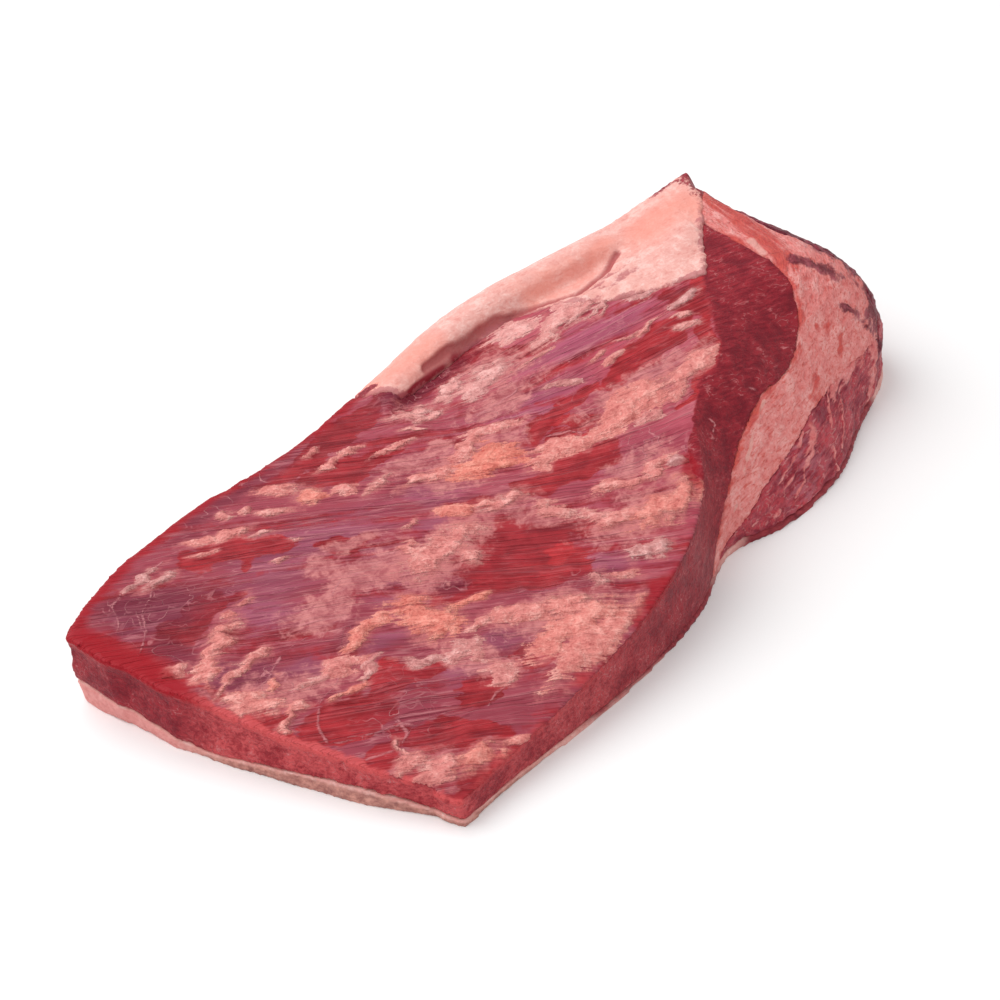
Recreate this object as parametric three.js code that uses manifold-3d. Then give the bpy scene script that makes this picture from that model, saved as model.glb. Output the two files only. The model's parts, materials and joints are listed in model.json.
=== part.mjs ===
// A whole raw beef brisket, lying on its fat cap with the lean side up.
// Millimetres, +Z up. +X runs from the thin end to the thick end, +Y towards the edge where the fat rolls
// over. The origin is on the table, under the middle of the cut.
// Four layers that show at the cut sides are separate closed solids: the flat muscle on top, the point
// muscle under its thick end, the seam of fat between the two, and the fat cap underneath everything, which
// also climbs the +Y edge, curls over it as a thick roll and covers the top of the far corner.
import * as THREE from "three";
import { mergeVertices } from "three/addons/utils/BufferGeometryUtils.js";
import Module from "manifold-3d";

const wasm = await Module();
wasm.setup();

// Cross-sections of the whole cut, from the thin end to the thick end.
// foot: where a side meets the table. rim: where it meets the top, with its height. near is -Y, far is +Y.
// full: how round the near side is, from 1, a straight slope, to 2, a quarter ellipse.
const SECTIONS = [
  { nearFoot: [-190, -103], nearRim: [-190, -101, 13], full: 1, farRim: [-240, 70, 36], farFoot: [-238, 66] },
  { nearFoot: [-170, -103], nearRim: [-170, -101, 14], full: 1, farRim: [-220, 84, 38], farFoot: [-218, 79] },
  { nearFoot: [-140, -102], nearRim: [-140, -100, 16], full: 1, farRim: [-184, 97, 38], farFoot: [-183, 91] },
  { nearFoot: [-95, -103], nearRim: [-95, -101, 23], full: 1, farRim: [-125, 101, 40], farFoot: [-125, 94] },
  { nearFoot: [-45, -102], nearRim: [-45, -99, 32], full: 1, farRim: [-68, 95, 43], farFoot: [-68, 90] },
  { nearFoot: [5, -94], nearRim: [2, -89, 44], full: 1, farRim: [-15, 96, 49], farFoot: [-15, 91] },
  { nearFoot: [47, -79], nearRim: [32, -72, 53], full: 1, farRim: [35, 96, 59], farFoot: [35, 91] },
  { nearFoot: [82, -87], nearRim: [60, -46, 62], full: 1.1, farRim: [75, 90, 65], farFoot: [75, 86] },
  { nearFoot: [128, -84], nearRim: [90, -36, 70], full: 1.3, farRim: [110, 81, 69], farFoot: [110, 78] },
  { nearFoot: [172, -67], nearRim: [118, -11, 76], full: 1.7, farRim: [140, 73, 73], farFoot: [140, 71] },
  { nearFoot: [213, -50], nearRim: [145, 15, 79], full: 2.9, farRim: [165, 67, 79], farFoot: [165, 65] },
  { nearFoot: [226, -24], nearRim: [166, 36, 81], full: 2.2, farRim: [180, 63, 83], farFoot: [187, 62] },
  { nearFoot: [211, 26], nearRim: [182, 52, 85], full: 1.6, farRim: [190, 60, 87], farFoot: [201, 54] },
];
const STATIONS = 60;
const SIDE_STEPS = 7;
const TOP_STEPS = 18;
const ROLL_STEPS = 5;
const FAR_STEPS = 4;
const FLOOR_STEPS = 5;

// The top bulges a little away from the thin end, and the far wall too.
const CROWN = { height: 5, width: 150, fullAt: 0.25 };
const FAR_BULGE = 3;
// The plain rim stays sharp: relief starts this far in from it, as a share of the width.
const RIM_SHARE = 0.04;

// The thick roll of fat along the far edge: its size, and where it starts and fades along X.
// lean and round shape its section. It lies in a trough of half its height, over the outer part of the top.
const ROLL = { width: 23, height: 11, start: -23, full: -12, fade: 112, end: 150, lean: 0.7, round: 0.85 };
const TROUGH = { share: 0.5, from: 0.55, to: 0.9 };

// The cut across the thin end, seen from above. END_LEAN is how far its foot is set back from its top edge,
// and END_HEIGHT how high that edge is, both given across the cut.
const END_CUT_STEPS = 10;
const END_CUT = [[-172, -112], [-176, -94], [-197, -32], [-212, 20], [-223, 80], [-231, 112]];
const END_LEAN = [[-100, 0], [-60, -3], [0, -2.5], [30, -2], [90, 4]];
const END_HEIGHT = [[-101, 14], [82, 37]];

// Ragged patches of fat left on the lean side: centre, half sizes, turn in degrees and thickness.
const PATCHES = [
  { at: [-72, -84], long: 34, wide: 13, turn: 12, thick: 1.8 },
  { at: [-143, -88], long: 26, wide: 10, turn: 0, thick: 1.8 },
  { at: [-78, -8], long: 26, wide: 11, turn: -50, thick: 1.6 },
  { at: [-128, 4], long: 22, wide: 13, turn: -30, thick: 1.4 },
  { at: [-140, -28], long: 30, wide: 8, turn: 80, thick: 1.6 },
  { at: [-184, 30], long: 17, wide: 6, turn: 60, thick: 1.6 },
  { at: [47, -20], long: 44, wide: 9, turn: -32, thick: 1.8 },
  { at: [4, -62], long: 30, wide: 10, turn: -38, thick: 1.8 },
  { at: [-60, -62], long: 40, wide: 8, turn: -20, thick: 1.4 },
  { at: [-4, 18], long: 34, wide: 8, turn: -35, thick: 1.2 },
  { at: [12, 60], long: 26, wide: 7, turn: -20, thick: 1.6 },
];
const PATCH_EDGE = { inner: 0.7, outer: 1.15 };

// The lean side also has broad, low ridges along its grain, which turns as it runs from the thin end.
const RIDGE = { height: 0.5, apart: 34, thinEndTurn: -42, thickEndTurn: -15, from: -220, length: 440 };

// Heights of the boundaries between the layers, as pairs of a place and a height. The top of the fat cap is
// given across the cut, at the thin end and along the rest, and the two muscles' meeting faces along the cut.
const CAP_BODY = [[-105, 2.4], [-80, 3], [-40, 6], [100, 8]];
const CAP_THIN_END = [[-104, 2.6], [-90, 4], [-67, 8], [-25, 6], [11, 2.6], [38, 7], [77, 12], [104, 12]];
const CAP_BLEND = [-205, -150];
const FLAT_UNDERSIDE = [
  [20, -5], [24, 3], [34, 12], [47, 24], [63, 34], [79, 44], [99, 52], [131, 51], [145, 55], [155, 62],
  [161, 70], [166, 78], [172, 92], [180, 110],
];
const POINT_TOP = [
  [28, -5], [35, 5], [48, 8], [60, 11], [75, 20], [92, 24], [111, 30], [120, 34], [150, 32], [172, 30],
  [182, 44], [196, 110],
];
// The lean end of the point muscle starts further out towards the near side.
const POINT_END = { slant: 0.65, slantFrom: -5, from: 150, to: 185 };

// What the climbing fat covers, seen from above, and the core of muscle inside it: plan and height.
const WRAP = [
  [-22, 104], [-20, 90], [-10, 76], [30, 73], [62, 68], [80, 54], [88, 36], [100, 25], [116, 14], [133, 5],
  [156, 24], [176, 40], [188, 48], [232, 70], [232, 120], [-22, 120],
];
const CORE = [[-60, -120], [170, -120], [170, 36], [150, 48], [110, 57], [60, 64], [-10, 68], [-60, 76]];
const CORE_TOP = [[-20, 34], [60, 46], [180, 66]];

// The gap between layers, the distance at which points are one, and the blocks that part the layers.
const GAP = 0.3;
const MERGE = 1e-3;
const BLOCK = { width: 500, depth: 250, cell: 12.5, floor: -20, ceiling: 120 };

const { lerp, smoothstep, degToRad, clamp } = THREE.MathUtils;

// A height read off a list of pairs, straight between them.
function along(pairs, at) {
  const last = pairs.length - 1;
  if (at <= pairs[0][0]) return pairs[0][1];
  if (at >= pairs[last][0]) return pairs[last][1];
  const i = pairs.findIndex((pair) => pair[0] > at);
  const [[x0, z0], [x1, z1]] = [pairs[i - 1], pairs[i]];
  return lerp(z0, z1, (at - x0) / (x1 - x0));
}

// Height of the fat patches and ridges above the plain top.
function relief(x, y) {
  const share = clamp((x - RIDGE.from) / RIDGE.length, 0, 1);
  const turn = degToRad(lerp(RIDGE.thinEndTurn, RIDGE.thickEndTurn, share));
  const across = y * Math.cos(turn) - x * Math.sin(turn);
  let height = RIDGE.height * Math.sin((2 * Math.PI * across) / RIDGE.apart);
  PATCHES.forEach(({ at, long, wide, turn: degrees, thick }) => {
    const place = new THREE.Vector2(x - at[0], y - at[1]);
    place.rotateAround(new THREE.Vector2(), -degToRad(degrees));
    const reach = Math.hypot(place.x / long, place.y / wide);
    height += thick * (1 - smoothstep(reach, PATCH_EDGE.inner, PATCH_EDGE.outer));
  });
  return height;
}

// The four long edges, and the roundness of the near side, as smooth curves through the sections.
function edgeCurve(key) {
  return new THREE.CatmullRomCurve3(SECTIONS.map(({ [key]: [x, y, z = 0] }) => new THREE.Vector3(x, y, z)));
}
const EDGES = ["nearFoot", "nearRim", "farRim", "farFoot"].map(edgeCurve);
const ROUNDNESS = new THREE.SplineCurve(SECTIONS.map((s, i) => new THREE.Vector2(i, s.full)));

// One closed ring of points round the cut, at a share u of its length: near side, top, roll, far side, floor.
function ring(u) {
  const [nearFoot, nearRim, farRim, farFoot] = EDGES.map((curve) => curve.getPoint(u));
  const points = [];
  const power = 2 / ROUNDNESS.getPoint(u).y;
  for (let i = 0; i < SIDE_STEPS; i += 1) {
    const angle = (i / SIDE_STEPS) * (Math.PI / 2);
    const point = nearFoot.clone().lerp(nearRim, 1 - Math.pow(Math.cos(angle), power));
    point.z = nearRim.z * Math.pow(Math.sin(angle), power);
    points.push(point);
  }
  const width = Math.hypot(farRim.x - nearRim.x, farRim.y - nearRim.y);
  const rollShare = Math.min(TROUGH.share, ROLL.width / width);
  const faded = smoothstep(farRim.x, ROLL.fade, ROLL.end);
  const rolled = smoothstep(farRim.x, ROLL.start, ROLL.full) * (1 - faded);
  const crown = CROWN.height * Math.min(1, width / CROWN.width) * smoothstep(u, 0, CROWN.fullAt);
  const sunk = rolled * ROLL.height * TROUGH.share;
  const surface = (t) => {
    const point = nearRim.clone().lerp(farRim, t);
    point.z += crown * 4 * t * (1 - t) - sunk * smoothstep(t, TROUGH.from, TROUGH.to);
    return point;
  };
  for (let i = 0; i < TOP_STEPS; i += 1) {
    const t = (i / TOP_STEPS) * (1 - rollShare);
    const point = surface(t);
    point.z += relief(point.x, point.y) * smoothstep(t, 0, RIM_SHARE);
    points.push(point);
  }
  for (let i = 0; i <= ROLL_STEPS; i += 1) {
    const k = i / ROLL_STEPS;
    const point = surface(1 - rollShare * (1 - k));
    point.z += rolled * ROLL.height * Math.sin(Math.PI * Math.pow(k, ROLL.lean) * ROLL.round);
    points.push(point);
  }
  const edge = points[points.length - 1];
  for (let i = 1; i < FAR_STEPS; i += 1) {
    const point = edge.clone().lerp(farFoot, i / FAR_STEPS);
    point.y += FAR_BULGE * Math.sin((Math.PI * i) / FAR_STEPS);
    points.push(point);
  }
  for (let i = 0; i < FLOOR_STEPS; i += 1) points.push(farFoot.clone().lerp(nearFoot, i / FLOOR_STEPS));
  return points;
}

// The whole cut as one closed mesh: rings joined along its length, with a cap at each end.
function loft() {
  const rings = Array.from({ length: STATIONS + 1 }, (_, i) => ring(i / STATIONS));
  const count = rings[0].length;
  const index = [];
  for (let i = 0; i < STATIONS; i += 1) {
    for (let j = 0; j < count; j += 1) {
      const [p, q] = [i * count + j, i * count + ((j + 1) % count)];
      index.push(p, p + count, q + count, p, q + count, q);
    }
  }
  [0, STATIONS].forEach((i) => {
    const contour = rings[i].map((p) => new THREE.Vector2(p.y, p.z));
    THREE.ShapeUtils.triangulateShape(contour, []).forEach(([p, q, r]) => {
      const turns = contour[q].clone().sub(contour[p]).cross(contour[r].clone().sub(contour[p])) > 0;
      const [second, third] = turns === (i === STATIONS) ? [q, r] : [r, q];
      index.push(i * count + p, i * count + second, i * count + third);
    });
  });
  const geometry = new THREE.BufferGeometry().setFromPoints(rings.flat());
  geometry.setIndex(index);
  return geometry;
}

function toSolid(geometry) {
  geometry.deleteAttribute("normal");
  geometry.deleteAttribute("uv");
  const merged = mergeVertices(geometry, MERGE);
  const vertProperties = merged.attributes.position.array;
  const triVerts = new Uint32Array(merged.index.array);
  return new wasm.Manifold(new wasm.Mesh({ numProp: 3, vertProperties, triVerts }));
}

function toGeometry(solid) {
  const mesh = solid.getMesh();
  const geometry = new THREE.BufferGeometry();
  geometry.setAttribute("position", new THREE.BufferAttribute(new Float32Array(mesh.vertProperties), 3));
  geometry.setIndex(new THREE.BufferAttribute(new Uint32Array(mesh.triVerts), 1));
  return geometry;
}

// A block over the whole plan whose top follows a height function. It parts one layer from the next.
function under(height) {
  const [cellsX, cellsY] = [BLOCK.width / BLOCK.cell, BLOCK.depth / BLOCK.cell];
  const geometry = new THREE.BoxGeometry(BLOCK.width, BLOCK.depth, 1, cellsX, cellsY, 1);
  const position = geometry.attributes.position;
  for (let i = 0; i < position.count; i += 1) {
    position.setZ(i, position.getZ(i) > 0 ? height(position.getX(i), position.getY(i)) : BLOCK.floor);
  }
  return toSolid(geometry);
}

// A prism over an outline drawn from above.
function prism(outline) {
  const options = { depth: BLOCK.ceiling - BLOCK.floor, bevelEnabled: false };
  return new THREE.ExtrudeGeometry(new THREE.Shape(outline), options).translate(0, 0, BLOCK.floor);
}

// Everything behind the cut across the thin end.
function behindEndCut() {
  const edge = new THREE.SplineCurve(END_CUT.map(([x, y]) => new THREE.Vector2(x, y)));
  const line = edge.getPoints(END_CUT_STEPS);
  const behind = [[BLOCK.width / 2, BLOCK.depth / 2], [BLOCK.width / 2, -BLOCK.depth / 2]];
  const geometry = prism([...line, ...behind.map(([x, y]) => new THREE.Vector2(x, y))]);
  const position = geometry.attributes.position;
  for (let i = 0; i < position.count; i += 1) {
    const [x, y, z] = [position.getX(i), position.getY(i), position.getZ(i)];
    if (x < 0) position.setX(i, x + along(END_LEAN, y) * (1 - z / along(END_HEIGHT, y)));
  }
  return toSolid(geometry);
}

// A prism over a closed outline of [x, y] pairs, grown on all sides by a margin.
function grownPrism(outline, margin) {
  const points = outline.map(([x, y]) => new THREE.Vector2(x, y));
  const count = points.length;
  const grown = points.map((point, i) => {
    const tangent = points[(i + 1) % count].clone().sub(points[(i + count - 1) % count]).normalize();
    return new THREE.Vector2(point.x + tangent.y * margin, point.y - tangent.x * margin);
  });
  return toSolid(prism(grown));
}

const whole = toSolid(loft()).intersect(behindEndCut());

const capTop = (x, y) => lerp(along(CAP_THIN_END, y), along(CAP_BODY, y), smoothstep(x, ...CAP_BLEND));
function pointTop(x, y) {
  const slant = Math.max(0, POINT_END.slantFrom - y) * POINT_END.slant;
  return along(POINT_TOP, x - slant * smoothstep(x, POINT_END.from, POINT_END.to));
}
const flatUnderside = (x) => along(FLAT_UNDERSIDE, x);
const raised = (height) => (x, y) => height(x + GAP, y) + GAP;

// The room that the fat takes: all that is low enough, and a shell round a core of muscle along the far edge.
function fatRoom(margin) {
  const core = grownPrism(CORE, -margin).intersect(under((x) => along(CORE_TOP, x) - margin));
  const cap = under((x, y) => capTop(x, y) + margin);
  return cap.add(grownPrism(WRAP, margin).subtract(core));
}

const lean = whole.subtract(fatRoom(GAP));
const belowFlat = lean.intersect(under(flatUnderside));
const LAYERS = {
  flat_muscle: { solid: lean.subtract(under(raised(flatUnderside))), color: 0x8e2f3d, roughness: 0.45 },
  seam_fat: { solid: belowFlat.subtract(under(raised(pointTop))), color: 0xd8897c, roughness: 0.5 },
  point_muscle: { solid: belowFlat.intersect(under(pointTop)), color: 0x7c2431, roughness: 0.45 },
  fat_cap: { solid: whole.intersect(fatRoom(0)), color: 0xe2b3a4, roughness: 0.5 },
};

const brisket = new THREE.Group();
Object.entries(LAYERS).forEach(([name, { solid, color, roughness }]) => {
  const material = new THREE.MeshStandardMaterial({ color, roughness, metalness: 0 });
  const mesh = new THREE.Mesh(toGeometry(solid), material);
  mesh.name = name;
  brisket.add(mesh);
});
const middle = new THREE.Box3().setFromObject(brisket).getCenter(new THREE.Vector3());
brisket.position.set(-middle.x, -middle.y, 0);

export default brisket;
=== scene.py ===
# A whole raw beef brisket, lying on its fat side with the lean side up.
import json
import bpy
import numpy as np
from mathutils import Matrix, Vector
from mathutils.bvhtree import BVHTree
from mathutils.kdtree import KDTree

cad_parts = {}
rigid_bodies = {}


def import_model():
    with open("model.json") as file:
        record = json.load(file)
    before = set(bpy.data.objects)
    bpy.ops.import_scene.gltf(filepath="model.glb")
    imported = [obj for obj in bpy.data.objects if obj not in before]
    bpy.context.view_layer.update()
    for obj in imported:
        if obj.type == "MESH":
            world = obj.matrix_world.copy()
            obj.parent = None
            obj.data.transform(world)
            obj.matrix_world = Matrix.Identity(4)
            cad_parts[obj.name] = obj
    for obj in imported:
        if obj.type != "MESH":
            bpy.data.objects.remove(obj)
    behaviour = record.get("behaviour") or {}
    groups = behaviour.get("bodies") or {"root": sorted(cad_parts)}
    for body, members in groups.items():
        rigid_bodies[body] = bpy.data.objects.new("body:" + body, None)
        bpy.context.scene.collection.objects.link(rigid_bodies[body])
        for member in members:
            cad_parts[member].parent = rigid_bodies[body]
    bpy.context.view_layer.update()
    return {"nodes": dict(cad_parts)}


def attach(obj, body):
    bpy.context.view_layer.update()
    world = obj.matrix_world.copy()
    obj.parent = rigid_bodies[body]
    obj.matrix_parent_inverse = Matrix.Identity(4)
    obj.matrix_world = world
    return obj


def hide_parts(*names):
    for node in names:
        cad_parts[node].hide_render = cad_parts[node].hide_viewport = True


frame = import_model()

# The flat muscle
# The thin slab of lean that makes up most of the top. Its fibres run slantwise along the cut, under a film
# of silver skin, and the knife left ragged patches of fat on it and cut its thin end and near side square.
MM = 0.001
# Skin within so many millimetres of another layer is hidden, and keeps only this share of its squares.
HIDDEN_WITHIN = 4
HIDDEN_SHARE = 0.04


def copy_layer(node, name, square, smoothing):
    """One layer of the frame as a piece of its own, with a skin of even squares, coarse where it is hidden."""
    bpy.ops.object.select_all(action="DESELECT")
    piece = bpy.data.objects.new(name, frame["nodes"][node].data.copy())
    bpy.context.scene.collection.objects.link(piece)
    bpy.context.view_layer.objects.active = piece
    piece.select_set(True)
    piece.data.materials.clear()
    bpy.ops.object.mode_set(mode="EDIT")
    bpy.ops.mesh.select_all(action="SELECT")
    bpy.ops.mesh.remove_doubles(threshold=0.01 * MM)
    bpy.ops.object.mode_set(mode="OBJECT")
    even = piece.modifiers.new("even squares", "REMESH")
    even.mode = "VOXEL"
    even.voxel_size = square * MM
    bpy.ops.object.modifier_apply(modifier=even.name)
    soft = piece.modifiers.new("soft edges", "SMOOTH")
    soft.factor = 0.5
    soft.iterations = smoothing
    bpy.ops.object.modifier_apply(modifier=soft.name)

    others = [skin_tree(other) for other in frame["nodes"] if other != node]
    bpy.ops.object.mode_set(mode="EDIT")
    bpy.ops.mesh.select_mode(type="FACE")
    bpy.ops.mesh.select_all(action="DESELECT")
    bpy.ops.object.mode_set(mode="OBJECT")
    reach = HIDDEN_WITHIN * MM
    for face in piece.data.polygons:
        inside = face.center - face.normal * MM
        face.select = any(tree.ray_cast(inside, face.normal, reach)[0] is not None for tree in others)
    bpy.ops.object.mode_set(mode="EDIT")
    bpy.ops.mesh.select_less()
    bpy.ops.mesh.select_less()
    bpy.ops.mesh.decimate(ratio=HIDDEN_SHARE)
    bpy.ops.object.mode_set(mode="OBJECT")
    piece.data.shade_smooth()
    return piece


def skin_tree(node):
    """The skin of one layer of the frame, to measure distances to."""
    body = frame["nodes"][node].data
    return BVHTree.FromPolygons([v.co for v in body.vertices], [list(p.vertices) for p in body.polygons])


def skin_of(piece):
    """The points of a piece's skin in millimetres, and which way each faces."""
    count = len(piece.data.vertices)
    points, facing = np.empty(count * 3), np.empty(count * 3)
    piece.data.vertices.foreach_get("co", points)
    piece.data.vertex_normals.foreach_get("vector", facing)
    return points.reshape(-1, 3) / MM, facing.reshape(-1, 3)


def lift(piece, height):
    """Moves each point of the skin outwards by its height in millimetres."""
    points, facing = skin_of(piece)
    piece.data.vertices.foreach_set("co", ((points + facing * height[:, None]) * MM).ravel())
    piece.data.update()


def store(piece, **layers):
    """Keeps values or places for each point of the skin, for the material to read."""
    for name, values in layers.items():
        kind, key = ("FLOAT", "value") if values.ndim == 1 else ("FLOAT_VECTOR", "vector")
        layer = piece.data.attributes.new(name, kind, "POINT")
        layer.data.foreach_set(key, values.astype(np.float32).ravel())


def step(low, high, value):
    """A smooth step from 0 at low to 1 at high."""
    share = np.clip((value - low) / (high - low), 0, 1)
    return share * share * (3 - 2 * share)


def clouds(points, size, seed, layers=2):
    """Soft random lumps of about the given size in millimetres, from -1 to 1."""
    table = np.random.default_rng(seed).uniform(-1, 1, (32, 32, 32))
    total, weight = 0, 0
    for layer in range(layers):
        place = points / size * 2**layer + 7.3 * layer
        cell = np.floor(place).astype(int)
        part = place - cell
        part = part * part * (3 - 2 * part)
        value = 0
        for corner in np.ndindex(2, 2, 2):
            index = (cell + corner) % 32
            share = np.where(corner, part, 1 - part).prod(axis=1)
            value = value + share * table[index[:, 0], index[:, 1], index[:, 2]]
        total = total + value / 2**layer
        weight = weight + 1 / 2**layer
    return np.clip(total / weight * 1.6, -1, 1)


# Which way the grain runs: at each place along X, in millimetres, its turn from +X in degrees.
GRAIN_TURNS = [(-225, -33), (-150, -36), (-60, -44), (0, -41), (45, -22), (120, -17), (225, -12)]


def along_grain(points):
    """Places measured along the grain, across it, and up, in millimetres, and the way the grain runs."""
    stations = np.linspace(-240, 240, 481)
    turns = np.radians(np.interp(stations, *np.transpose(GRAIN_TURNS)))
    along = np.interp(points[:, 0], stations, np.cumsum(1 / np.cos(turns)))
    across = points[:, 1] - np.interp(points[:, 0], stations, np.cumsum(np.tan(turns)))
    turn = np.interp(points[:, 0], stations, turns)
    heading = np.stack([np.cos(turn), np.sin(turn), 0 * turn], axis=1)
    return np.stack([along, across, points[:, 2]], axis=1), heading


def patches(points, shapes):
    """How far inside the nearest of several long patches a point is, 1 in its middle and 0 at its edge, and the
    last value of that patch."""
    inside, value = np.full(len(points), -3.0), np.zeros(len(points))
    for x0, y0, x1, y1, half_width, own_value in shapes:
        start, run = np.array([x0, y0]), np.array([x1 - x0, y1 - y0])
        length = np.hypot(*run)
        ahead = run / length
        away = points[:, :2] - start - run / 2
        lengthwise = away @ ahead / (length / 2 + half_width * 0.6)
        sideways = away @ np.array([-ahead[1], ahead[0]]) / half_width
        here = 1 - np.hypot(lengthwise, sideways)
        value = np.where(here > inside, own_value, value)
        inside = np.maximum(inside, here)
    return inside, value


def strips(points, lines):
    """The same for winding strips, each with half its width and the points on its middle line."""
    inside = np.full(len(points), -3.0)
    for half_width, *line in lines:
        for start, end in zip(np.array(line[:-1], float), np.array(line[1:], float)):
            run = end - start
            away = points - start
            share = np.clip(away @ run / (run @ run), 0, 1)
            distance = np.linalg.norm(away - share[:, None] * run, axis=1)
            inside = np.maximum(inside, 1 - distance / half_width)
    return inside


def beside(points, line):
    """How far along a line in plan each point lies, and how far to the left of it."""
    nearest, passed = np.full(len(points), 1e9), 0
    along, left = np.zeros(len(points)), np.zeros(len(points))
    for start, end in zip(np.array(line[:-1], float), np.array(line[1:], float)):
        run = end - start
        away = points[:, :2] - start
        share = np.clip(away @ run / (run @ run), 0, 1)
        distance = np.hypot(*(away - share[:, None] * run).T)
        side = np.sign(run[0] * away[:, 1] - run[1] * away[:, 0])
        closer = distance < nearest
        nearest[closer] = distance[closer]
        along[closer] = (passed + share * np.hypot(*run))[closer]
        left[closer] = (distance * side)[closer]
        passed += np.hypot(*run)
    return along, left


def depth_below_top(points, facing):
    """How far down the side each point lies under the nearest edge of the top."""
    top = np.flatnonzero(facing[:, 2] > 0.8)[::3]
    tree = KDTree(len(top))
    for spot in top:
        tree.insert((points[spot, 0], points[spot, 1], 0), spot)
    tree.balance()
    nearest = [tree.find((x, y, 0))[1] for x, y, z in points]
    return points[nearest, 2] - points[:, 2]


# Patches on the lean side, in millimetres from above: from x, y to x, y, half the width, and a last value. For fat
# it is the tint: -1 for a pale greyish pink, 0 for salmon, 1 for orange.
FAT = [
    (-208, 20, -168, 37, 5.5, 0.2), (-212, 35, -201, 33, 3, 0), (-208, 12, -178, 13, 2.5, 0),
    (-183, 15, -171, 13, 4, 0), (-207, 6, -192, -8, 7, 0.2), (-187, -5, -178, 2, 2.5, 0.5),
    (-200, -25, -189, -15, 4, 0.2), (-189, -15, -180, -22, 3, 0), (-180, -9, -164, -12, 3, -0.5),
    (-161, -13, -146, -18, 6.5, 0), (-171, -28, -155, -31, 2.2, 0.6), (-156, -30, -142, -24, 3, -0.5),
    (-148, -10, -121, -13, 3.5, 0.6), (-112, -14, -107, -36, 11, 0.7), (-98, -30, -83, -37, 4, 0.8),
    (-137, -34, -118, -47, 2.5, -0.6), (-119, -47, -104, -50, 4.5, -0.5), (-111, -52, -108, -64, 3, -0.4),
    (-117, -70, -109, -72, 6.5, -0.3), (-104, -44, -90, -48, 2.5, 0), (-91, -48, -70, -67, 5, 0.2),
    (-168, -60, -171, -72, 2.2, -0.3), (-184, -68, -165, -73, 3.5, 0.1), (-181, -75, -162, -83, 8, 0),
    (-166, -84, -141, -97, 6, 0.5), (-137, -95, -124, -98, 2.5, 0.3), (-99, -91, -44, -91, 8, 0.3),
    (-90, -74, -52, -84, 9, 0.4), (-74, -64, -60, -76, 8, 0.3), (-186, 85, -164, 85, 2.6, -0.8),
    (-180, 79, -162, 77, 3.2, -0.7), (-149, 89, -134, 78, 2.8, 0), (-138, 79, -121, 72, 3.6, 0.1),
    (-149, 80, -141, 73, 1.6, 0), (-124, 85, -118, 86, 1.8, -0.3), (-117, 83, -111, 81, 1.8, -0.3),
    (-112, 77, -101, 66, 2.8, -0.2), (-97, 85, -88, 73, 5, 0.2), (-92, 68, -82, 62, 4.5, 0.6),
    (-122, 66, -114, 63, 2.5, -0.5), (-118, 56, -113, 52, 2, -0.4), (-131, 47, -124, 43, 2, -0.4),
    (-162, 41, -155, 38, 1.8, -0.2), (-77, 58, -70, 54, 3.5, -0.1), (-72, 73, -60, 73, 2.2, 0.1),
    (-60, 73, -44, 68, 2.4, 0), (-67, 86, -59, 85, 1.8, 0), (-51, 60, -38, 56, 1.6, 0),
    (-41, 57, -29, 51, 2.2, 0.1), (-31, 61, -24, 53, 2, -0.2), (-24, 70, -9, 64, 7, -0.4),
    (-25, 58, -4, 57, 3, -0.2), (-4, 60, 16, 63, 5, 0.1), (4, 53, 35, 49, 9, -0.8),
    (-70, 47, -57, 44, 3, -0.3), (-61, 36, -42, 31, 2.5, 0), (-48, 30, -30, 24, 4, 0.2),
    (-33, 20, -9, 8, 9, 0.8), (-29, 28, -8, 28, 4.5, 0.1), (-9, 28, 6, 14, 4, -0.1),
    (-60, 13, -45, 0, 4.5, 0.6), (-49, 4, -36, -9, 2.5, 0.2), (-83, 12, -87, 2, 2.8, 0),
    (-79, 18, -68, 16, 1.8, -0.2), (-97, -3, -52, -6, 10, -0.1), (-74, -14, -66, -18, 5, -0.2),
    (-47, -4, -26, -13, 5, -0.2), (-28, -16, -22, -40, 4, -0.2), (-23, -38, -16, -50, 3.5, -0.3),
    (-12, -37, 12, -52, 4.5, 0.1), (8, -49, 28, -56, 5.5, 0), (-21, -51, 0, -63, 4.5, 0.1),
    (-6, -64, 22, -74, 11, 0.45), (-24, -74, -9, -83, 6, -0.7), (-51, -73, -41, -68, 4, -0.5),
    (-43, -71, -30, -83, 2.2, -0.1), (-10, -4, 16, -16, 5.5, 0.3), (14, -14, 60, -25, 8.5, 0.3),
    (54, -26, 93, -30, 7.5, 0.2), (-6, 3, 8, -8, 2, 0.2), (41, 66, 62, 58, 6.5, -0.2),
    (52, 45, 112, 46, 8.5, -0.4), (60, 36, 102, 36, 2.2, -0.5), (78, 32, 100, 31, 1.5, -0.6),
    (50, 12, 61, 10, 1.8, -0.2), (70, 11, 86, 5, 1.6, -0.3), (54, 6, 68, 2, 1.5, -0.1),
    (74, 4, 99, 3, 1.8, -0.2), (103, 5, 119, 0, 3, -0.8), (100, -2, 108, -9, 2.2, -0.3),
    (94, -7, 103, -15, 2.2, -0.4), (97, 27, 128, 12, 5, -0.8), (28, 20, 36, 12, 2.4, -0.6),
    (32, 40, 52, 36, 2.4, -0.3), (36, -30, 48, -37, 2.4, -0.4), (24, -58, 34, -62, 3, -0.9),
]
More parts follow.
